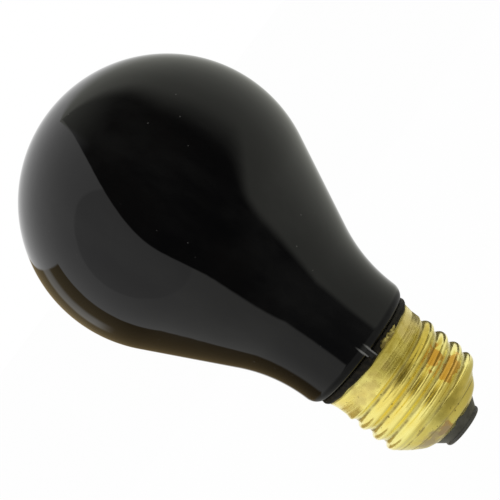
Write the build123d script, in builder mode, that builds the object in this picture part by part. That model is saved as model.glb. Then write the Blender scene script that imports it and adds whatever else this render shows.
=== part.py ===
from build123d import *
import os
from math import atan2, ceil, cos, degrees, hypot, radians, sin, sqrt, tan

# A light bulb of black glass with an E27 screw cap, in millimetres.
# The origin is the end of the centre contact, +Z runs up the axis to the crown of the glass,
# and -Y is the side that carries the small lug on the neck.

# Driving dimensions of the glass
bulb_diameter = 61.2
flank_angle = 25.9
throat_radius = 34.5
neck_overhang = 2.0
neck_length = 0.3
shoulder_height = 2.7
shoulder_inset = 1.7
tail_length = 6.4
tail_lip = 2.4
stem_depth = 6.6
stem_top_width = 1.6
exhaust_diameter = 4.4
exhaust_length = 15.5
exhaust_tip = 3.0
exhaust_tip_diameter = 1.1
lug_width = 1.65
lug_offset = 0.4
lug_rise = 2.5
lug_drop = 1.4
lug_thickness = 1.0
lug_rounding = 0.25

# Driving dimensions of the screw shell
thread_diameter = 26.2
thread_pitch = 3.629
thread_depth = 0.95
thread_length = 9.7
crest_flat = 0.6
sheet = 0.3
mouth_diameter = 12.8
dome_floor_angle = 27.0
dome_break_diameter = 17.0
dome_break_rounding = 3.0
dome_angle = 46.6
dome_edge_inset = 2.45
dome_edge_rounding = 0.8
run_in_height = 3.3
run_in_rounding = 2.5
run_out_height = 2.0
run_out_rounding = 2.0
skirt_step = 0.5
skirt_height = 4.5
rim_flare = 0.35
rim_flare_height = 2.2
lead_in = 0.55
groove_edge_share = 0.9
skin_overrun_share = 0.25

# Driving dimensions of the insulator, the contacts and the leads
insulator_height = 2.85
insulator_rim = 0.55
insulator_lip = 0.25
insulator_lip_height = 0.8
insulator_fill = 1.5
insulator_dish = 1.5
insulator_hole_diameter = 2.6
contact_diameter = 8.4
contact_thickness = 0.4
contact_proud = 0.1
contact_hole_diameter = 1.4
solder_height = 0.6
solder_diameter = 4.8
solder_flat_diameter = 1.6
lead_diameter = 0.5
lead_bend = 1.0
lead_end_depth = 0.35
lead_droop = 2.5
lead_slant_share = 0.25
side_solder_length = 6.2
side_solder_width = 1.6
side_solder_angle = 24.0

# Driving dimensions of the basing cement
cement_wall = 1.6
cement_depth = 2.3
cement_gap = 1.5
cement_proud = 0.4
cement_bulge = 0.15
clearance = 0.12

# Radii that follow from them
crest_radius = thread_diameter / 2
arc_radius = ((thread_pitch / 2) ** 2 + thread_depth**2) / (4 * thread_depth)
peak_radius = crest_radius + arc_radius - sqrt(arc_radius**2 - (crest_flat / 2) ** 2)
root_radius = peak_radius - thread_depth
mouth_radius = mouth_diameter / 2
dome_break_radius = dome_break_diameter / 2
dome_edge_radius = crest_radius - dome_edge_inset
skirt_radius = crest_radius - skirt_step
rim_radius = skirt_radius + rim_flare
tail_radius = skirt_radius - sheet - cement_wall
bead_radius = rim_radius + cement_proud
neck_radius = rim_radius + neck_overhang
shoulder_radius = neck_radius - shoulder_inset
bulb_radius = bulb_diameter / 2
exhaust_radius = exhaust_diameter / 2
stem_top_radius = exhaust_radius + stem_top_width
insulator_hole_radius = insulator_hole_diameter / 2
contact_radius = contact_diameter / 2
contact_hole_radius = contact_hole_diameter / 2
insulator_end_radius = contact_radius + insulator_rim
lead_radius = lead_diameter / 2
lead_start = exhaust_radius + stem_top_width / 2
lead_track = tail_radius + lead_diameter

# Heights that follow from them, from the end of the centre contact upwards
dome_floor_slope = tan(radians(dome_floor_angle))
dome_slope = tan(radians(dome_angle))
plate_z = solder_height
plate_top_z = plate_z + contact_thickness
insulator_z = plate_z + contact_proud
mouth_z = insulator_z + insulator_height
mouth_inner_z = mouth_z + sheet / cos(radians(dome_floor_angle))
insulator_top_z = mouth_inner_z + insulator_fill * dome_floor_slope
dome_break_z = mouth_z + (dome_break_radius - mouth_radius) * dome_floor_slope
dome_edge_z = dome_break_z + (dome_edge_radius - dome_break_radius) * dome_slope
crest_start_z = dome_edge_z + run_in_height
crest_end_z = crest_start_z + thread_length
skirt_z = crest_end_z + run_out_height
groove_z = skirt_z - lead_in
rim_z = skirt_z + skirt_height
shoulder_z = rim_z + cement_gap
neck_z = shoulder_z + shoulder_height + neck_length
tail_z = shoulder_z - tail_length
stem_top_z = tail_z + stem_depth
exhaust_end_z = stem_top_z - exhaust_length

# The flank is a straight line that leaves the round head and runs into the throat
flank_sin = sin(radians(flank_angle))
flank_cos = cos(radians(flank_angle))
flank_length = (bulb_radius - neck_radius - (bulb_radius + throat_radius) * (1 - flank_cos)) / flank_sin
head_z = neck_z + (bulb_radius + throat_radius) * flank_sin + flank_length * flank_cos

# Upright plane through the axis and the side solder, in which both leads lie
solder_sin = sin(radians(side_solder_angle))
solder_cos = cos(radians(side_solder_angle))
lead_plane = Plane((0, 0, 0), x_dir=(solder_sin, -solder_cos, 0), z_dir=(-solder_cos, -solder_sin, 0))

os.makedirs("parts", exist_ok=True)

# Glass: bulb, neck and tail blown in one, sealed and opaque, with a small lug over the shoulder.
# The tail's underside is the open mouth of the stem, with the stub of the exhaust tube in it.
with BuildPart() as glass_bulb:
    with BuildSketch(Plane.XZ):
        with BuildLine():
            head = CenterArc((0, head_z), bulb_radius, -flank_angle, 90 + flank_angle)
            throat_centre = (neck_radius + throat_radius, neck_z)
            throat = CenterArc(throat_centre, throat_radius, 180 - flank_angle, flank_angle)
            Line(head @ 0, throat @ 0)
            neck = Line(throat @ 1, (neck_radius, shoulder_z + shoulder_height))
            shoulder = TangentArc(neck @ 1, (shoulder_radius, shoulder_z), tangent=(0, -1))
            tail = Polyline(
                shoulder @ 1,
                (tail_radius, shoulder_z),
                (tail_radius, tail_z + tail_lip / 2),
            )
            lip = ThreePointArc(
                tail @ 1,
                (tail_radius - tail_lip / 2, tail_z),
                (tail_radius - tail_lip, tail_z + tail_lip / 2),
            )
            stem = Polyline(
                lip @ 1,
                (stem_top_radius, stem_top_z),
                (exhaust_radius, stem_top_z),
                (exhaust_radius, exhaust_end_z + exhaust_tip),
                (exhaust_tip_diameter / 2, exhaust_end_z),
                (0, exhaust_end_z),
            )
            Line(stem @ 1, head @ 1)
        make_face()
    revolve(axis=Axis.Z)
    lug_z = shoulder_z - lug_drop
    lug_y = -(bead_radius + cement_bulge + clearance + lug_thickness / 2)
    with BuildSketch(Plane.XY.offset(lug_z)):
        with Locations((lug_offset, lug_y)):
            Rectangle(lug_width, lug_thickness)
    extrude(amount=lug_drop + lug_rise)
    fillet(glass_bulb.edges().filter_by_position(Axis.Z, lug_z, lug_z), radius=lug_rounding)


# Outline of the screw shell from below its mouth to above its rim, moved inwards by a given amount
def shell_outline(inset):
    overrun = mouth_radius * skin_overrun_share
    points = [
        (mouth_radius - overrun, mouth_z - overrun * dome_floor_slope),
        (dome_break_radius, dome_break_z),
        (dome_edge_radius, dome_edge_z),
        (crest_radius, crest_start_z),
        (crest_radius, crest_end_z),
        (skirt_radius, skirt_z),
        (skirt_radius, rim_z - rim_flare_height),
        (rim_radius + overrun * rim_flare / rim_flare_height, rim_z + overrun),
    ]
    normals = []
    for low, high in zip(points, points[1:]):
        length = hypot(high[0] - low[0], high[1] - low[1])
        normals.append(((high[1] - low[1]) / length, (low[0] - high[0]) / length))
    moved = []
    for index, point in enumerate(points):
        below = normals[max(index - 1, 0)]
        above = normals[min(index, len(normals) - 1)]
        share = inset / (1 + below[0] * above[0] + below[1] * above[1])
        moved.append((point[0] - share * (below[0] + above[0]), point[1] - share * (below[1] + above[1])))
    return moved


# Section of the thread's groove at a given height: a round root that runs into round crests.
# Moved inwards by the sheet, it is the same groove as seen from inside the shell.
def groove_section(height, inset):
    root_centre = root_radius + arc_radius
    crest_centre = peak_radius - arc_radius
    meet_share = (arc_radius + inset) / (2 * arc_radius)
    meet_radius = root_centre + meet_share * (crest_centre - root_centre)
    meet_rise = meet_share * thread_pitch / 2
    crest_arc = arc_radius - inset
    half_flat = groove_edge_share * crest_flat / 2 * crest_arc / arc_radius
    edge_radius = crest_centre + sqrt(crest_arc**2 - half_flat**2)
    edge_rise = thread_pitch / 2 - half_flat
    outside = peak_radius + sheet
    with BuildSketch(Plane.XZ) as section:
        with BuildLine():
            low_meet = (meet_radius, height - meet_rise)
            high_meet = (meet_radius, height + meet_rise)
            ThreePointArc(low_meet, (root_radius - inset, height), high_meet)
            upper = RadiusArc(high_meet, (edge_radius, height + edge_rise), crest_arc)
            lower = RadiusArc(low_meet, (edge_radius, height - edge_rise), -crest_arc)
            Polyline(upper @ 1, (outside, height + edge_rise), (outside, height - edge_rise), lower @ 1)
        make_face()
    return section.sketch


# Solid within the shell's surface, moved inwards by a given amount, with the groove rolled into it.
# The groove starts in the skirt, where it fades in over half a turn, and runs off the dome.
def threaded_body(inset):
    outline = shell_outline(inset)
    convex = run_out_rounding - inset
    concave = run_out_rounding + inset
    dome_roundings = [dome_break_rounding - inset, dome_edge_rounding, run_in_rounding - inset]
    roundings = [*dome_roundings, convex, concave, concave]
    fade_height = thread_pitch / 2
    fade_angle = degrees(atan2(skirt_radius - root_radius + sheet, fade_height))
    runs = [(groove_z, fade_height, fade_angle)]
    for turn in range(ceil((groove_z - dome_edge_z) / thread_pitch)):
        runs.append((groove_z - (turn + 1) * thread_pitch, thread_pitch, 0))
    with BuildPart() as body:
        with BuildSketch(Plane.XZ):
            with BuildLine():
                wall = FilletPolyline(*outline, radius=roundings)
                Polyline(wall @ 1, (0, outline[-1][1]), (0, outline[0][1]), wall @ 0)
            make_face()
        revolve(axis=Axis.Z)
        for start, length, cone in runs:
            with BuildLine() as path:
                Helix(thread_pitch, length, root_radius, center=(0, 0, start), cone_angle=cone)
            section = groove_section(start, inset)
            sweep(sections=section, path=path.wires()[0], is_frenet=True, mode=Mode.SUBTRACT)
    return body.part


# Screw shell: drawn and rolled from thin brass sheet, open at the rim and at the mouth of its dome
outer_skin = threaded_body(0)
hollow = threaded_body(sheet)
with BuildPart() as screw_shell:
    add(outer_skin)
    add(hollow, mode=Mode.SUBTRACT)
    with BuildSketch(Plane.XY):
        Circle(mouth_radius)
    extrude(amount=dome_edge_z, mode=Mode.SUBTRACT)
    split(bisect_by=Plane.XY.offset(rim_z), keep=Keep.BOTTOM)

# Insulator: black glass poured into the dome and out through its mouth, with a seat for the contact
with BuildPart() as insulator:
    with BuildSketch(Plane.XZ):
        with BuildLine():
            lip_radius = insulator_end_radius + insulator_lip
            waist = (insulator_end_radius + insulator_lip / 2, insulator_z + insulator_lip_height)
            end_lip = ThreePointArc(
                (insulator_end_radius, insulator_z),
                (lip_radius, insulator_z + insulator_lip_height / 2),
                waist,
            )
            Polyline(
                waist,
                (mouth_radius, mouth_z),
                (mouth_radius, mouth_inner_z),
                (mouth_radius + insulator_fill, insulator_top_z),
                (insulator_hole_radius, insulator_top_z - insulator_dish),
                (insulator_hole_radius, plate_top_z),
                (contact_radius, plate_top_z),
                (contact_radius, insulator_z),
                end_lip @ 0,
            )
        make_face()
    revolve(axis=Axis.Z)

# Centre contact: a stamped brass disc in the end of the insulator, with a hole for the lead
with BuildPart() as centre_contact:
    with BuildSketch(Plane.XY.offset(plate_z)):
        Circle(contact_radius)
        Circle(contact_hole_radius, mode=Mode.SUBTRACT)
    extrude(amount=contact_thickness)

# Solder of the centre contact: a low dome with a flat end, and a plug round the lead in the disc's hole
with BuildPart() as contact_solder:
    with BuildSketch(Plane.XZ):
        with BuildLine():
            dome = TangentArc(
                (solder_flat_diameter / 2, 0),
                (solder_diameter / 2, plate_z),
                tangent=(1, 0),
            )
            Polyline(
                dome @ 1,
                (contact_hole_radius, plate_z),
                (contact_hole_radius, plate_top_z),
                (lead_radius, plate_top_z),
                (lead_radius, lead_end_depth),
                (0, lead_end_depth),
                (0, 0),
                dome @ 0,
            )
        make_face()
    revolve(axis=Axis.Z)

# Lead of the centre contact: wire from the stem past the exhaust stub, down the axis into the solder
lead_level = (exhaust_end_z - insulator_top_z) * lead_slant_share
with BuildPart() as contact_lead:
    with BuildLine(lead_plane) as contact_route:
        FilletPolyline(
            (0, lead_end_depth),
            (0, insulator_top_z + lead_level),
            (-lead_start, exhaust_end_z - lead_level),
            (-lead_start, stem_top_z),
            radius=lead_bend,
        )
    with BuildSketch(Plane.XY.offset(lead_end_depth)):
        Circle(lead_radius)
    sweep(path=contact_route.wires()[0])

# Lead of the shell: wire from the stem, round the tail, up through the cement and out over the rim
lead_over_z = rim_z + lead_radius + clearance
with BuildPart() as shell_lead:
    with BuildLine(lead_plane) as shell_route:
        FilletPolyline(
            (lead_start, stem_top_z),
            (lead_start, tail_z - lead_droop),
            (lead_track, tail_z - lead_droop),
            (lead_track, lead_over_z),
            (bead_radius + cement_bulge, lead_over_z),
            radius=lead_bend,
        )
    with BuildSketch(Plane.XY.offset(stem_top_z)):
        with Locations((lead_start * solder_sin, -lead_start * solder_cos)):
            Circle(lead_radius)
    sweep(path=shell_route.wires()[0])

# Basing cement: baked ring that holds the tail in the skirt and stands out as a bead above the rim
with BuildPart() as basing_cement:
    with BuildSketch(Plane.XZ):
        with BuildLine():
            bead = ThreePointArc(
                (bead_radius, rim_z),
                (bead_radius + cement_bulge, (rim_z + shoulder_z) / 2),
                (bead_radius, shoulder_z),
            )
            Polyline(
                bead @ 1,
                (tail_radius, shoulder_z),
                (tail_radius, rim_z - cement_depth),
                (skirt_radius - sheet / 2, rim_z - cement_depth),
                (skirt_radius - sheet / 2, rim_z - rim_flare_height),
                (rim_radius - sheet / 2, rim_z),
                bead @ 0,
            )
        make_face()
    revolve(axis=Axis.Z)
    add(screw_shell.part, mode=Mode.SUBTRACT)
    add(shell_lead.part, mode=Mode.SUBTRACT)

# Side solder: a long low blob over the end of the shell's lead, on the rim and the bead
with BuildPart() as solder_blob:
    Sphere(side_solder_width / 2)
    scale(by=(1, side_solder_length / side_solder_width, 1))
with BuildPart() as side_solder:
    blob_reach = bead_radius - cement_bulge
    blob_place = (blob_reach * solder_sin, -blob_reach * solder_cos, lead_over_z)
    with Locations(Location(blob_place, (0, 0, side_solder_angle - 90))):
        add(solder_blob.part)
    add(screw_shell.part, mode=Mode.SUBTRACT)
    add(basing_cement.part, mode=Mode.SUBTRACT)
    add(shell_lead.part, mode=Mode.SUBTRACT)

pieces = {
    "glass_bulb": glass_bulb,
    "basing_cement": basing_cement,
    "screw_shell": screw_shell,
    "insulator": insulator,
    "centre_contact": centre_contact,
    "contact_solder": contact_solder,
    "contact_lead": contact_lead,
    "shell_lead": shell_lead,
    "side_solder": side_solder,
}
for label, piece in pieces.items():
    piece.part.label = label
    export_step(piece.part, f"parts/{label}.step")
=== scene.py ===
from math import atan2, cos, hypot, pi, radians, sin, sqrt, tau

import bmesh
import bpy
from mathutils import Matrix, Vector, noise


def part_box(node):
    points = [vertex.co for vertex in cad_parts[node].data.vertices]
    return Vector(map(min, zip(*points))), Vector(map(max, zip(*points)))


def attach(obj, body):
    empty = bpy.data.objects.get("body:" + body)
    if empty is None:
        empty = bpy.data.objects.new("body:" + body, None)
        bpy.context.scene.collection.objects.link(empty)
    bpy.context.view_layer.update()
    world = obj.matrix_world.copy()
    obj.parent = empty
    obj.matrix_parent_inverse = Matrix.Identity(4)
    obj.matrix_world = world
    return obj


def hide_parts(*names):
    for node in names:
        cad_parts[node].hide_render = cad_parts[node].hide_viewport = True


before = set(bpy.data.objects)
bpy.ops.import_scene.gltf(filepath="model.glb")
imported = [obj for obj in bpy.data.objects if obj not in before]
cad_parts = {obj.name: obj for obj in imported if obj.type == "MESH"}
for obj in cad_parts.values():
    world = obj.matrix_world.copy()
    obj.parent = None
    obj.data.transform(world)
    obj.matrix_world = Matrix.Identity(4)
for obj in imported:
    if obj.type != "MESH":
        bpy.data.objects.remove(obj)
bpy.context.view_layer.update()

mm = 0.001


# Glass bulb: head, neck and tail blown in one from glass that is black right through, and flame polished.
# Below the shoulder the tail turns in to the open mouth of the stem, with the stub of the exhaust tube.
# A small lug of glass with two ridges runs down over the shoulder at the front.
class Signal:
    def __init__(self, tree, socket=None):
        self.tree = tree
        self.socket = socket

    def node(self, kind, settings, inputs, output=0):
        made = self.tree.nodes.new(kind)
        for name, value in settings.items():
            setattr(made, name, value)
        for name, value in inputs.items():
            if isinstance(value, Signal):
                self.tree.links.new(value.socket, made.inputs[name])
            else:
                made.inputs[name].default_value = value
        return Signal(self.tree, made.outputs[output] if made.outputs else None)

    def maths(self, operation, *values):
        return self.node("ShaderNodeMath", {"operation": operation}, dict(enumerate(values)))

    def __add__(self, other):
        return self.maths("ADD", self, other)

    def __radd__(self, other):
        return self.maths("ADD", other, self)

    def __sub__(self, other):
        return self.maths("SUBTRACT", self, other)

    def __rsub__(self, other):
        return self.maths("SUBTRACT", other, self)

    def __mul__(self, other):
        return self.maths("MULTIPLY", self, other)

    def __rmul__(self, other):
        return self.maths("MULTIPLY", other, self)

    def ease(self, low, high):
        inputs = {"Value": self, "From Min": low, "From Max": high}
        return self.node("ShaderNodeMapRange", {"interpolation_type": "SMOOTHSTEP"}, inputs)

    def tint(self, under, over):
        inputs = {0: self, 6: under, 7: over}
        return self.node("ShaderNodeMix", {"data_type": "RGBA"}, inputs, 2)

    def grain(self, position, scale, detail=3.0, roughness=0.55):
        inputs = {"Vector": position, "Scale": scale, "Detail": detail, "Roughness": roughness}
        return self.node("ShaderNodeTexNoise", {}, inputs)

    def specks(self, position, scale, size):
        settings = {"feature": "F1", "distance": "EUCLIDEAN"}
        spots = self.node("ShaderNodeTexVoronoi", settings, {"Vector": position, "Scale": scale})
        return 1 - spots.ease(size * 0.5, size)

    def vector(self, operation, first, second, output="Vector"):
        return self.node("ShaderNodeVectorMath", {"operation": operation}, {0: first, 1: second}, output)

    def patch(self, position, centre, factors, wobble):
        offset = self.vector("MULTIPLY", self.vector("SUBTRACT", position, centre), factors)
        reach = self.vector("LENGTH", offset, (0, 0, 0), "Value")
        return 1 - (reach + wobble).ease(0.35, 1.35)

    def around(self, position):
        split = self.node("ShaderNodeSeparateXYZ", {}, {"Vector": position}).socket.node.outputs
        x, y, z = (Signal(self.tree, socket) for socket in split)
        return x, y, z, x.maths("ARCTAN2", x, 0 - y) * (180 / pi)

    def bump(self, height, distance, strength=1.0):
        inputs = {"Height": height, "Distance": distance, "Strength": strength}
        return self.node("ShaderNodeBump", {}, inputs)


def finish_of(name):
    material = bpy.data.materials.new(name)
    material.use_nodes = True
    start = Signal(material.node_tree)
    place = start.node("ShaderNodeTexCoord", {}, {}, "Object")
    in_mm = start.node("ShaderNodeVectorMath", {"operation": "SCALE"}, {0: place, "Scale": 1000.0})
    return material, start, in_mm


def coat(material, inputs):
    shader = material.node_tree.nodes["Principled BSDF"]
    for name, value in inputs.items():
        if isinstance(value, Signal):
            material.node_tree.links.new(value.socket, shader.inputs[name])
        else:
            shader.inputs[name].default_value = value


def dress(node, material):
    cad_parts[node].data.materials.clear()
    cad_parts[node].data.materials.append(material)


def line_to(profile, pen, x, z):
    made = bmesh.ops.extrude_vert_indiv(profile, verts=[pen])
    made["verts"][0].co = (x * mm, 0, z * mm)
    return made["verts"][0]


def arc_to(profile, pen, centre_x, centre_z, sweep, steps):
    centre = (centre_x * mm, 0, centre_z * mm)
    angle = radians(sweep)
    made = bmesh.ops.spin(profile, geom=[pen], cent=centre, axis=(0, 1, 0), angle=angle, steps=steps)
    return [part for part in made["geom_last"] if isinstance(part, bmesh.types.BMVert)][0]


def turn_round(profile, steps):
    whole = profile.verts[:] + profile.edges[:]
    bmesh.ops.spin(
        profile, geom=whole, cent=(0, 0, 0), axis=(0, 0, 1), angle=tau, steps=steps, use_merge=True
    )
    bmesh.ops.remove_doubles(profile, verts=profile.verts[:], dist=0.0005 * mm)
    bmesh.ops.recalc_face_normals(profile, faces=profile.faces[:])


def make_piece(mesh, name, material, node):
    for face in mesh.faces:
        face.smooth = True
    data = bpy.data.meshes.new(name)
    mesh.to_mesh(data)
    mesh.free()
    data.materials.append(material)
    made = bpy.data.objects.new(name, data)
    bpy.context.scene.collection.objects.link(made)
    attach(made, "root")
    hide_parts(node)
    return made


rim_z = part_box("screw_shell")[1].z / mm
shoulder_z = rim_z + 1.5
shoulder_top_z = shoulder_z + 2.7
neck_z = shoulder_top_z + 0.3
tail_z = shoulder_z - 6.4
stem_z = shoulder_z + 0.2
stem_radius = 3.8
exhaust_z = shoulder_z - 15.3
exhaust_radius = 2.2
exhaust_tip_radius = 0.55
exhaust_tip_height = 3.0
crown_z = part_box("glass_bulb")[1].z / mm
head_radius = 30.6
head_z = crown_z - head_radius
flank = 25.9
throat_radius = 34.5
neck_radius = 14.95
shoulder_radius = 13.25
tail_radius = 10.7
lip_radius = 1.2

glass_black, start, place = finish_of("black_glass")
cloud = start.grain(place, 0.035, 4.0)
smear = start.grain(start.vector("MULTIPLY", place, (0.10, 0.10, 0.03)), 1.0, 5.0)
dust = start.specks(place, 0.33, 0.07) * start.grain(place, 0.06).ease(0.45, 0.6)
pips = start.specks(place, 0.9, 0.06) * start.grain(place, 0.12).ease(0.55, 0.7)
black = cloud.ease(0.35, 0.65).tint((0.0012, 0.0012, 0.0014, 1), (0.0026, 0.0024, 0.0023, 1))
black = (smear.ease(0.40, 0.75) * 0.6).tint(black, (0.0085, 0.0085, 0.008, 1))
lug_face = start.patch(place, (0.4, -14.3, 28.5), (0.9, 1.2, 0.45), 0)
# Painted highlight: the two ridges of the lug are painted pale grey, for the light along their edges.
ridges = start.patch(place, (-0.34, -14.5, 29.1), (4.0, 1.0, 0.55), 0)
ridges = ridges + start.patch(place, (1.12, -14.5, 28.1), (4.0, 1.0, 0.50), 0)
black = (lug_face * 0.8).tint(black, (0.022, 0.022, 0.020, 1))
black = (ridges * 0.8).tint(black, (0.19, 0.19, 0.18, 1))
coat(glass_black, {
    "Base Color": (dust * 0.45).tint(black, (0.10, 0.095, 0.09, 1)),
    "Roughness": 0.02 + smear.ease(0.45, 0.75) * 0.03 + dust * 0.25 + lug_face * 0.2,
    "IOR": 1.5,
    "Specular IOR Level": 0.36,
    "Normal": start.bump(cloud * 0.6 + pips * 0.02, 0.0006, 0.35),
})

bulb = bmesh.new()
pen = bulb.verts.new((0, 0, crown_z * mm))
pen = arc_to(bulb, pen, 0, head_z, 90 + flank, 72)
throat_x = neck_radius + throat_radius
flank_end_x = throat_x - throat_radius * cos(radians(flank))
flank_end_z = neck_z + throat_radius * sin(radians(flank))
flank_start = Vector((pen.co.x / mm, pen.co.z / mm))
for share in (0.2, 0.4, 0.6, 0.8, 1.0):
    spot = flank_start.lerp(Vector((flank_end_x, flank_end_z)), share)
    pen = line_to(bulb, pen, spot.x, spot.y)
pen = arc_to(bulb, pen, throat_x, neck_z, -flank, 24)
pen = line_to(bulb, pen, neck_radius, shoulder_top_z)
shoulder_inset = neck_radius - shoulder_radius
shoulder_height = shoulder_top_z - shoulder_z
shoulder_arc = (shoulder_inset**2 + shoulder_height**2) / (2 * shoulder_inset)
shoulder_sweep = atan2(shoulder_height, shoulder_arc - shoulder_inset) * 180 / pi
pen = arc_to(bulb, pen, neck_radius - shoulder_arc, shoulder_top_z, shoulder_sweep, 14)
pen = line_to(bulb, pen, tail_radius, shoulder_z)
pen = line_to(bulb, pen, tail_radius, tail_z + lip_radius)
pen = arc_to(bulb, pen, tail_radius - lip_radius, tail_z + lip_radius, 180, 8)
for x, z in (
    (stem_radius, stem_z),
    (exhaust_radius, stem_z),
    (exhaust_radius, exhaust_z + exhaust_tip_height),
    (exhaust_tip_radius, exhaust_z),
    (0, exhaust_z),
):
    pen = line_to(bulb, pen, x, z)
turn_round(bulb, 256)

lug_left = -0.43
lug_back = -13.6
lug_low_z = rim_z + 0.1
lug_rounding = 0.17
for left, width, low, height, depth in (
    (0.0, 0.45, 1.2, 2.7, 1.02),
    (0.3, 1.1, 0.4, 3.0, 0.72),
    (1.15, 0.5, 0.0, 3.3, 1.02),
):
    middle = (lug_left + left + width / 2, lug_back - depth / 2, lug_low_z + low + height / 2)
    sizes = Matrix.Diagonal((width * mm, depth * mm, height * mm, 1))
    matrix = Matrix.Translation(Vector(middle) * mm) @ sizes
    ridge = bmesh.ops.create_cube(bulb, size=1, matrix=matrix)["verts"]
    edges = list({edge for vert in ridge for edge in vert.link_edges})
    bmesh.ops.bevel(
        bulb, geom=edges, offset=lug_rounding * mm, affect="EDGES", segments=4, profile=0.5, material=-1
    )
make_piece(bulb, "black_bulb", glass_black, "glass_bulb")


# Leads: soft wire of coppered alloy, bent by hand. One runs down the axis to the centre contact.
# The other goes round the tail and over the rim of the shell.
lead_copper, start, place = finish_of("lead_copper")
drawn = start.grain(place, 1.3)
dull = start.grain(place, 0.4).ease(0.4, 0.65)
coat(lead_copper, {
    "Base Color": dull.tint((0.74, 0.42, 0.27, 1), (0.42, 0.24, 0.16, 1)),
    "Metallic": 1.0,
    "Roughness": 0.28 + dull * 0.2,
    "Normal": start.bump(drawn, 0.00004, 0.5),
})
dress("contact_lead", lead_copper)
dress("shell_lead", lead_copper)


# Screw shell: brass sheet of 0.3 mm, drawn to a cup and rolled to a right-hand round thread.
# The skirt flares a little to its rim, which was pressed unevenly over the glass.
# The last turn of the thread runs out over the dome. The grooves and the crease are painted darker and
# duller, and the dome bears a heat stain.
thread_pitch = 3.629
thread_depth = 0.95
crest_radius = 13.1
crest_flat = 0.6
arc_radius = ((thread_pitch / 2) ** 2 + thread_depth**2) / (4 * thread_depth)
peak_radius = crest_radius + arc_radius - sqrt(arc_radius**2 - (crest_flat / 2) ** 2)
root_radius = peak_radius - thread_depth
skirt_z = rim_z - 4.5
thread_top_z = skirt_z - 0.55
crest_top_z = skirt_z - 2.0
crest_foot_z = crest_top_z - 9.7
dome_z = crest_foot_z - 3.3
mouth_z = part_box("screw_shell")[0].z / mm
mouth_radius = 6.4
skirt_radius = 12.6
rim_radius = 12.95
sheet_thickness = 0.3
dome_break_radius = 8.5
dome_break_z = mouth_z + 1.07
dome_radius = 10.65
run_out = 0.95
crease_depth = 0.13
crease_width = 0.28
crease_drop = 0.35
crease_tilt = 0.5
notch_x = 0.6
notch_width = 1.2
notch_depth = 0.35
flare_z = rim_z - 2.2


def rim_wave(angle):
    dip = 0.3 * max(0.0, -sin(angle)) ** 2
    return (0.09 * sin(5 * angle + 0.6) + 0.06 * sin(9 * angle + 2.2) + 0.06 * sin(16 * angle) - dip) * mm


def thread_radius(from_root):
    if from_root < thread_pitch / 4:
        return root_radius + arc_radius - sqrt(arc_radius**2 - from_root**2)
    return peak_radius - arc_radius + sqrt(arc_radius**2 - (thread_pitch / 2 - from_root) ** 2)


brass, start, place = finish_of("cap_brass")
height = start.node("ShaderNodeSeparateXYZ", {}, {"Vector": place}, "Z")
from_groove = start.node("ShaderNodeAttribute", {"attribute_name": "from_groove"}, {}, "Fac")
warm = start.grain(place, 0.11, 4.0)
mottle = start.grain(place, 0.45, 5.0)
rolled = start.grain(start.vector("MULTIPLY", place, (0.10, 0.10, 2.6)), 1.0, 4.0)
wobble = (warm.ease(0.3, 0.7) - 0.5) * 0.9 + (mottle.ease(0.3, 0.7) - 0.5) * 0.9
rust = start.patch(place, (7.0, -10.5, 16.5), (0.29, 0.29, 0.66), wobble * 0.9)
rust = rust.maths("MAXIMUM", rust, start.patch(place, (7.6, -10.1, 11.9), (0.29, 0.29, 0.66), wobble * 0.9))
rust = rust.maths("MAXIMUM", rust, start.patch(place, (-2.6, -8.2, 5.3), (0.45, 0.45, 0.80), wobble))
rust = rust.ease(0.25, 0.65)
heat = start.patch(place, (-6.0, -7.4, 5.6), (0.20, 0.20, 0.50), wobble * 0.7)
# Painted highlight: a patch at the top right of the skirt is painted a pale tan, for the light on the rim
# there.
pale = start.patch(place, (10.5, -7.0, 24.2), (0.24, 0.24, 0.35), wobble)
soil = start.patch(place, (-7.0, -10.5, 23.4), (0.20, 0.20, 0.50), wobble)
# The grooves and the crease are painted darker, duller and rougher, more in some places than others.
groove_darkening = (1 - from_groove.ease(0.0, 0.27)) * (0.35 + mottle.ease(0.30, 0.65) * 0.65)
olive = start.patch(place, (2.0, -10.6, 8.2), (0.20, 0.20, 0.55), wobble * 0.4)
spots = start.specks(place, 0.50, 0.14) * warm.ease(0.42, 0.60)
spots = spots.maths("MAXIMUM", spots, start.specks(place, 0.8, 0.16) * mottle.ease(0.50, 0.64))
satin = height.ease(19.5, 21.5)
# A patch at the front right of the skirt is painted a darker olive.
darker_skirt_patch = start.patch(place, (6.5, -10.8, 23.6), (0.09, 0.09, 0.16), wobble * 0.6)
gold = warm.ease(0.36, 0.66).tint((0.94, 0.86, 0.29, 1), (0.90, 0.75, 0.19, 1))
gold = (darker_skirt_patch * (0.60 + mottle.ease(0.40, 0.70) * 0.4)).tint(gold, (0.44, 0.35, 0.04, 1))
gold = (rolled.ease(0.52, 0.72) * 0.2).tint(gold, (0.50, 0.40, 0.08, 1))
gold = (rust * 0.85).tint(gold, (0.66, 0.35, 0.05, 1))
gold = (olive * 0.75).tint(gold, (0.36, 0.30, 0.06, 1))
gold = (heat * 0.85).tint(gold, (0.38, 0.30, 0.20, 1))
gold = (pale * 0.25).tint(gold, (0.62, 0.48, 0.28, 1))
gold = (soil * 0.5).tint(gold, (0.50, 0.36, 0.12, 1))
gold = (groove_darkening * 0.80).tint(gold, (0.15, 0.11, 0.03, 1))
heat_stain_and_groove_darkening = heat.maths("MAXIMUM", heat, groove_darkening)
coat(brass, {
    "Base Color": (spots * 0.75).tint(gold, (0.08, 0.06, 0.02, 1)),
    "Metallic": 0.90 - heat_stain_and_groove_darkening * 0.25,
    "Roughness": 0.15 + satin * 0.09 + mottle.ease(0.35, 0.7) * 0.06 + heat_stain_and_groove_darkening * 0.15,
    "Normal": start.bump(rolled + mottle * 0.4, 0.00006, 0.6),
})

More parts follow.
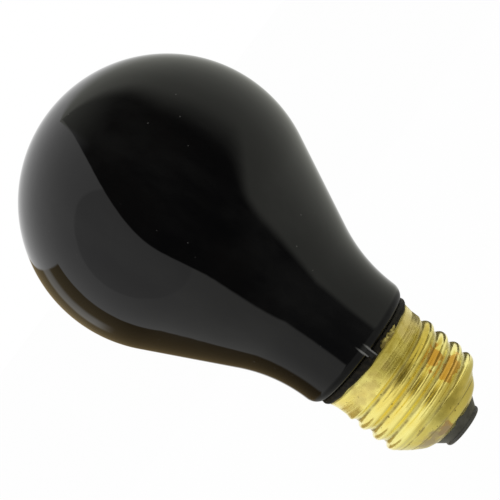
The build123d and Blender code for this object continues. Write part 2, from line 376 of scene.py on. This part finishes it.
shell = bmesh.new()
pen = shell.verts.new((mouth_radius * mm, 0, mouth_z * mm))
corners = []
for x, z, rounding in (
    (dome_break_radius, dome_break_z, 0.6),
    (dome_radius, dome_z, 0.25),
    (crest_radius, crest_foot_z, 0.75),
    (crest_radius, crest_top_z, 0.25),
    (skirt_radius, skirt_z, 0.25),
    (skirt_radius, flare_z, 0.16),
):
    pen = line_to(shell, pen, x, z)
    corners.append((pen, rounding))
line_to(shell, pen, rim_radius, rim_z)
for pen, rounding in corners:
    bmesh.ops.bevel(
        shell, geom=[pen], offset=rounding * mm, affect="VERTICES", segments=5, profile=0.5, material=-1
    )
row_height = 0.19 * mm
for edge in shell.edges[:]:
    cuts = int(edge.calc_length() / row_height)
    if cuts:
        bmesh.ops.subdivide_edges(shell, edges=[edge], cuts=cuts)
turn_round(shell, 240)
outside = max(shell.faces, key=lambda face: face.calc_center_median().x)
if outside.normal.x < 0:
    bmesh.ops.reverse_faces(shell, faces=shell.faces[:])
groove_share = shell.verts.layers.float.new("from_groove")
blend = 0.10
fade_slope = 1.7
no_groove = 9.0
for vert in shell.verts:
    angle = atan2(vert.co.y, vert.co.x)
    radius = hypot(vert.co.x, vert.co.y) / mm
    turn = (angle % tau) / tau
    level = vert.co.z / mm - thread_top_z - thread_pitch * turn
    loop = round(level / thread_pitch)
    from_root = abs(level - loop * thread_pitch)
    fade = 0.0
    if loop >= 0:
        fade = fade_slope * turn if loop == 0 and turn < 0.5 else no_groove
    groove = thread_radius(from_root) + fade
    body = radius
    below_foot = (crest_foot_z - vert.co.z / mm) / (crest_foot_z - dome_z)
    if 0 < below_foot < 1:
        body += run_out * sin(pi * below_foot**1.5) * max(0.0, cos(angle)) ** 1.5
    step = max(blend - abs(body - groove), 0) / blend
    cut = min(body, groove) - step * step * blend / 4
    vert[groove_share] = from_root * 2 / thread_pitch if groove < body + blend else 1.0
    crease_z = dome_z - crease_drop - crease_tilt * vert.co.x / (dome_radius * mm)
    from_crease = abs(vert.co.z / mm - crease_z) / crease_width
    if from_crease < 1:
        cut -= crease_depth * (1 - from_crease**2) ** 2
        vert[groove_share] = min(vert[groove_share], from_crease * 0.3)
    vert.co.x *= cut / radius
    vert.co.y *= cut / radius
    from_notch = hypot(vert.co.x / mm - notch_x, vert.co.y / mm + mouth_radius) / notch_width
    if from_notch < 1:
        vert.co.z += notch_depth * mm * (1 - from_notch**2)
    rise = max(0.0, (vert.co.z / mm - flare_z) / (rim_z - flare_z))
    vert.co.z += rise * rise * rim_wave(angle)
cap = make_piece(shell, "brass_shell", brass, "screw_shell")
sheet = cap.modifiers.new("sheet", "SOLIDIFY")
sheet.thickness = sheet_thickness * mm
sheet.offset = -1


# Insulator: black glass poured into the dome while hot.
# It sets in the mouth of the dome and round the seat of the contact.
vitrite, start, place = finish_of("insulator_glass")
haze = start.grain(place, 0.5, 5.0)
pits = start.specks(place, 0.9, 0.12)
coat(vitrite, {
    "Base Color": haze.ease(0.3, 0.7).tint((0.025, 0.025, 0.023, 1), (0.056, 0.056, 0.048, 1)),
    "Roughness": 0.30 + haze * 0.2 + pits * 0.2,
    "Normal": start.bump(haze - pits * 0.4, 0.0001, 0.6),
})
dress("insulator", vitrite)


# Centre contact: a stamped brass disc in the insulator.
# A dome of tin solder, which holds the lead, was left to set on it.
contact_brass, start, place = finish_of("contact_brass")
stain = start.grain(place, 0.6, 4.0)
coat(contact_brass, {
    "Base Color": stain.ease(0.4, 0.65).tint((0.80, 0.62, 0.26, 1), (0.58, 0.42, 0.18, 1)),
    "Metallic": 1.0,
    "Roughness": 0.22 + stain * 0.2,
    "Normal": start.bump(stain, 0.00005, 0.5),
})
dress("centre_contact", contact_brass)

tin, start, place = finish_of("tin_solder")
set_skin = start.grain(place, 0.9, 5.0)
coat(tin, {
    "Base Color": set_skin.ease(0.35, 0.7).tint((0.66, 0.64, 0.60, 1), (0.45, 0.43, 0.39, 1)),
    "Metallic": 1.0,
    "Roughness": 0.25 + set_skin * 0.3,
    "Normal": start.bump(set_skin, 0.0001, 0.5),
})
dress("contact_solder", tin)


# Basing cement: resin and marble flour, filled into the skirt and baked round the tail of the glass.
# It swells out over the rim as a dark bead, sloped underneath where the brass edge scraped it.
cement_black, start, place = finish_of("basing_cement")
crumb = start.grain(place, 1.1, 6.0, 0.65)
coat(cement_black, {
    "Base Color": crumb.ease(0.35, 0.7).tint((0.004, 0.0032, 0.0014, 1), (0.020, 0.015, 0.006, 1)),
    "Roughness": 0.45 + crumb * 0.3,
    "Specular IOR Level": 0.25,
    "Normal": start.bump(crumb, 0.0003, 0.7),
})
bead_from = 12.9
ring = bmesh.new()
first = ring.verts.new((tail_radius * mm, 0, flare_z * mm))
pen = first
for x, z in (
    (12.25, flare_z),
    (12.62, rim_z - 0.05),
    (12.98, rim_z),
    (13.30, rim_z + 0.22),
    (13.48, rim_z + 0.55),
    (13.50, rim_z + 0.85),
    (13.42, shoulder_z - 0.25),
    (13.30, shoulder_z),
    (tail_radius, shoulder_z),
):
    pen = line_to(ring, pen, x, z)
ring.edges.new((first, pen))
turn_round(ring, 240)
for vert in ring.verts:
    if hypot(vert.co.x, vert.co.y) > bead_from * mm and vert.co.z < shoulder_z * mm:
        share = (shoulder_z - vert.co.z / mm) / (shoulder_z - rim_z)
        vert.co.z += share * rim_wave(atan2(vert.co.y, vert.co.x))
make_piece(ring, "cement_bead", cement_black, "basing_cement")


# Side solder: a lump on the rim that holds the end of the shell's lead, set in uneven folds.
# It has taken the colour of the brass.
side_tin, start, place = finish_of("side_solder")
lumps = start.grain(place, 0.8, 5.0)
coat(side_tin, {
    "Base Color": lumps.ease(0.35, 0.65).tint((0.66, 0.55, 0.17, 1), (0.32, 0.25, 0.07, 1)),
    "Metallic": 0.85,
    "Roughness": 0.28 + lumps * 0.25,
    "Normal": start.bump(lumps, 0.0002, 0.6),
})
solder_angle = radians(24)
solder_reach = 13.2
solder_z = rim_z + 0.27
solder_half_length = 3.1
solder_half_width = 0.8
solder_x = solder_reach * sin(solder_angle)
solder_y = -solder_reach * cos(solder_angle)
solder_spot = Vector((solder_x, solder_y, solder_z)) * mm
sizes = Matrix.Diagonal((solder_half_length * mm, solder_half_width * mm, solder_half_width * mm, 1))
matrix = Matrix.Translation(solder_spot) @ Matrix.Rotation(solder_angle, 4, "Z") @ sizes
lump = bmesh.new()
bmesh.ops.create_icosphere(lump, subdivisions=5, radius=1, matrix=matrix)
for vert in lump.verts:
    offset = vert.co - solder_spot
    fold = noise.noise(offset / mm * 0.7) * 0.35 + noise.noise(offset / mm * 1.9) * 0.15
    vert.co = solder_spot + offset * (0.9 + fold)
make_piece(lump, "solder_lump", side_tin, "side_solder")


# Studio: a pale floor under an even white light. A grey mat lies under the bulb and five cards stand round
# it, the darkest behind at the right. The mat and the cards glow with painted colours of light and shade, and
# show in reflections alone.
scene = bpy.context.scene
scene.view_settings.view_transform = "Standard"


def seen_white(tree):
    start = Signal(tree)
    rays = start.node("ShaderNodeLightPath", {}, {}).socket.node.outputs
    seen = Signal(tree, rays["Is Camera Ray"])
    for kind in ("Is Glossy Ray", "Is Transmission Ray"):
        seen = seen.maths("MAXIMUM", seen, Signal(tree, rays[kind]))
    return start, seen


white_light = bpy.data.worlds.new("white_light")
white_light.use_nodes = True
scene.world = white_light
start, seen = seen_white(white_light.node_tree)
sky = white_light.node_tree.nodes["Background"]
sky.inputs["Color"].default_value = (1, 1, 1, 1)
white_light.node_tree.links.new((0.85 + seen * 0.15).socket, sky.inputs["Strength"])

camera_tilt = radians(5)
across = Vector((1, 0, 0))
upward = Vector((0, sin(camera_tilt), cos(camera_tilt)))
back = across.cross(upward)
aim_z = 58.6
aim = Vector((0, 0, aim_z * mm))


def toward(right, up, front, distance):
    return aim + (across * right + upward * up + back * front).normalized() * distance


def set_up(mesh, name, material):
    data = bpy.data.meshes.new(name)
    mesh.to_mesh(data)
    mesh.free()
    data.materials.append(material)
    made = bpy.data.objects.new(name, data)
    scene.collection.objects.link(made)
    return made


def show_in_reflections_only(card):
    card.visible_camera = False
    card.visible_diffuse = False
    card.visible_shadow = False


def glow_paint(name, colour_of):
    paint, start, place = finish_of(name)
    coat(paint, {
        "Base Color": (0, 0, 0, 1),
        "Specular IOR Level": 0.0,
        "Emission Color": colour_of(start, place),
        "Emission Strength": 1.0,
    })
    return paint


def show_one_side(material, side_kept):
    start = Signal(material.node_tree)
    surface = start.tree.nodes["Material Output"].inputs["Surface"]
    kept = Signal(start.tree, surface.links[0].from_socket)
    clear = start.node("ShaderNodeBsdfTransparent", {}, {})
    back_face = start.node("ShaderNodeNewGeometry", {}, {}, "Backfacing")
    front, rear = (kept, clear) if side_kept == "front" else (clear, kept)
    one_sided = start.node("ShaderNodeMixShader", {}, {0: back_face, 1: front, 2: rear})
    start.tree.links.new(one_sided.socket, surface)


def lay_sheet(size, z):
    sheet = bmesh.new()
    matrix = Matrix.Translation((0, 0, z * mm))
    bmesh.ops.create_grid(sheet, x_segments=1, y_segments=1, size=size, matrix=matrix)
    return sheet


def stand_card(name, colour, direction, distance, width, height):
    spot = toward(*direction, distance)
    facing = (aim - spot).to_track_quat("Z", "Y").to_matrix().to_4x4()
    card = bmesh.new()
    matrix = Matrix.Translation(spot) @ facing @ Matrix.Diagonal((width, height, 1, 1))
    bmesh.ops.create_grid(card, x_segments=1, y_segments=1, size=0.5, matrix=matrix)
    paint = glow_paint(name, lambda start, place: colour)
    show_in_reflections_only(set_up(card, name, paint))


floor_z = -60
floor_paint = finish_of("pale_floor")[0]
coat(floor_paint, {"Base Color": (0.92, 0.92, 0.92, 1), "Roughness": 0.9})
start, seen = seen_white(floor_paint.node_tree)
glow = start.node("ShaderNodeEmission", {}, {"Color": (1, 1, 1, 1), "Strength": 1.0})
paint = Signal(start.tree, start.tree.nodes["Principled BSDF"].outputs[0])
mixed = start.node("ShaderNodeMixShader", {}, {0: seen * 0.95, 1: paint, 2: glow})
start.tree.links.new(mixed.socket, start.tree.nodes["Material Output"].inputs["Surface"])
show_one_side(floor_paint, "front")
set_up(lay_sheet(4.0, floor_z), "floor", floor_paint)


def mat_colour(start, place):
    reach = start.vector("LENGTH", start.vector("MULTIPLY", place, (1, 1, 0)), (0, 0, 0), "Value")
    to_right = start.node("ShaderNodeSeparateXYZ", {}, {"Vector": place}, "X").ease(-160, 80)
    middle = to_right.tint((0.80, 0.78, 0.66, 1), (0.40, 0.37, 0.22, 1))
    return reach.ease(60, 350).tint(middle, (1, 1, 1, 1))


mat_paint = glow_paint("grey_mat", mat_colour)
show_in_reflections_only(set_up(lay_sheet(1.0, floor_z + 1), "grey_mat", mat_paint))
stand_card("front_card", (0.20, 0.17, 0.06, 1), (0.24, -0.26, 0.93), 0.4, 0.34, 0.20)
stand_card("front_left_card", (0.60, 0.57, 0.42, 1), (-0.36, -0.26, 0.93), 0.4, 0.20, 0.20)
stand_card("right_card", (0.24, 0.21, 0.10, 1), (0.966, 0.0, 0.26), 0.5, 0.75, 0.4)
stand_card("rear_card", (0.06, 0.05, 0.03, 1), (0.53, -0.2, -0.85), 0.45, 0.5, 0.35)
stand_card("rear_left_card", (0.40, 0.30, 0.15, 1), (-0.8, -0.1, -0.6), 0.45, 0.5, 0.3)


# Light tent: a sheet that hangs close round the glass, dark in front, brown at the left, grey at the right.
# It shows in the glass alone, which gets its panels of light and shade from it.
# A flat collar just under it, painted pale at the left, dark in front and tan at the right, shows in the
# brass, so that the thread doesn't mirror the inside of the tent.
tent_gap = 14
tent_floor_z = rim_z - 1
collar_z = tent_floor_z - 0.1
collar_radius = 13.7


def tent_colour(start, place):
    x, y, z, angle = start.around(place)
    rise = x.maths("MAXIMUM", (z - head_z) * (1 / (head_radius + tent_gap)), 0)
    left_edge = x.maths("POWER", rise, 1.6) * 17.5 + (1 - z.ease(48, 78)) * 4 - 16.6
    head_share = z.ease(55, 78)
    right_edge = 25 + head_share * 12 + z.ease(100, 120) * 14
    past_right = x.maths("DIVIDE", angle - right_edge, 8 + head_share * 17).ease(0, 1)
    reach = x.maths("SQRT", x * x + y * y)
    under = (1 - z.ease(tent_floor_z + 0.1, tent_floor_z + 0.5)) * (1 - reach.ease(17, 27))
    soft = 0.3 + (1 - z.ease(32, 60)) * 0.5
    dark = (x - left_edge).ease(0 - soft, soft) * (1 - past_right) * (1 - z.ease(112, 123) * 0.5)
    dark = dark * (0 - y).ease(-4, 4) * (1 - under)
    rear = x.maths("ABSOLUTE", angle).ease(152, 168) * (1 - z.ease(head_z + 10, head_z + 32))
    dark = x.maths("MAXIMUM", dark, rear * 0.9)
    inner = 75 + (1 - z.ease(35, 55)) * 4
    to_left = 0 - angle
    brown = (to_left - inner).ease(0, 1 + (1 - z.ease(28, 40)) * 5)
    brown = brown * (1 - to_left.ease(126, 134)) * (1 - z.ease(95.5, 96.5))
    streak = (1 - x.maths("ABSOLUTE", angle + 95).ease(3, 8)) * z.ease(66, 74)
    beside = (angle + 30) * (1 / 27)
    above = (z - 81) * (1 / 25)
    dim = 1 - (beside * beside + above * above).ease(0.92, 1.04)
    left = z.ease(40, 90).tint((0.66, 0.66, 0.64, 1), (1, 1, 1, 1))
    left = (dim * 0.55).tint(left, (0.6, 0.6, 0.6, 1))
    right = angle.ease(105, 150).tint((0.58, 0.59, 0.53, 1), (1, 1, 1, 1))
    light = angle.ease(-5, 5).tint(left, right)
    wood = z.ease(58, 80).tint((0.20, 0.145, 0.07, 1), (0.34, 0.26, 0.14, 1))
    light = brown.tint(light, (streak * 0.85).tint(wood, (0.85, 0.82, 0.76, 1)))
    light = under.tint(light, (0.24, 0.24, 0.23, 1))
    return dark.tint(light, z.ease(28, 45).tint((0.08, 0.08, 0.08, 1), (0.03, 0.03, 0.03, 1)))


tent = bmesh.new()
pen = tent.verts.new((0, 0, (crown_z + tent_gap) * mm))
pen = arc_to(tent, pen, 0, head_z, 90 + flank, 48)
tent_flank_x = flank_end_x + tent_gap * cos(radians(flank))
pen = line_to(tent, pen, tent_flank_x, flank_end_z - tent_gap * sin(radians(flank)))
pen = arc_to(tent, pen, throat_x, neck_z, -flank, 12)
pen = line_to(tent, pen, neck_radius + tent_gap, tent_floor_z)
line_to(tent, pen, collar_radius, tent_floor_z)
turn_round(tent, 96)
tent_cloth = glow_paint("light_tent", tent_colour)
show_one_side(tent_cloth, "rear")
show_in_reflections_only(set_up(tent, "light_tent", tent_cloth))


def collar_colour(start, place):
    angle = start.around(place)[-1]
    left = angle.ease(-26, 0).tint((1.0, 0.98, 0.90, 1), (0.17, 0.14, 0.05, 1))
    return angle.ease(10, 36).tint(left, (0.78, 0.71, 0.42, 1))


collar = bmesh.new()
pen = collar.verts.new(((neck_radius + tent_gap) * mm, 0, collar_z * mm))
line_to(collar, pen, collar_radius, collar_z)
turn_round(collar, 96)
show_in_reflections_only(set_up(collar, "collar", glow_paint("collar", collar_colour)))


# Camera: a long lens half a metre off and a little above the bulb.
# It is rolled, so that the bulb lies across the picture with its cap at the lower right.
image_width = 500
focal_length_in_pixels = 2425
camera_distance = 0.5
camera_offset = 2.485
lens = bpy.data.cameras.new("camera")
lens.sensor_width = 36.0
lens.lens = lens.sensor_width * focal_length_in_pixels / image_width
lens.clip_start = 0.01
camera = bpy.data.objects.new("camera", lens)
axis_down = Vector((0.7976, 0.6032)).normalized()
image_right = across * axis_down.y - upward * axis_down.x
image_up = across * axis_down.x + upward * axis_down.y
spot = aim + across * camera_offset * mm + back * camera_distance
camera.matrix_world = Matrix.Translation(spot) @ Matrix((image_right, image_up, back)).transposed().to_4x4()
scene.collection.objects.link(camera)
scene.camera = camera
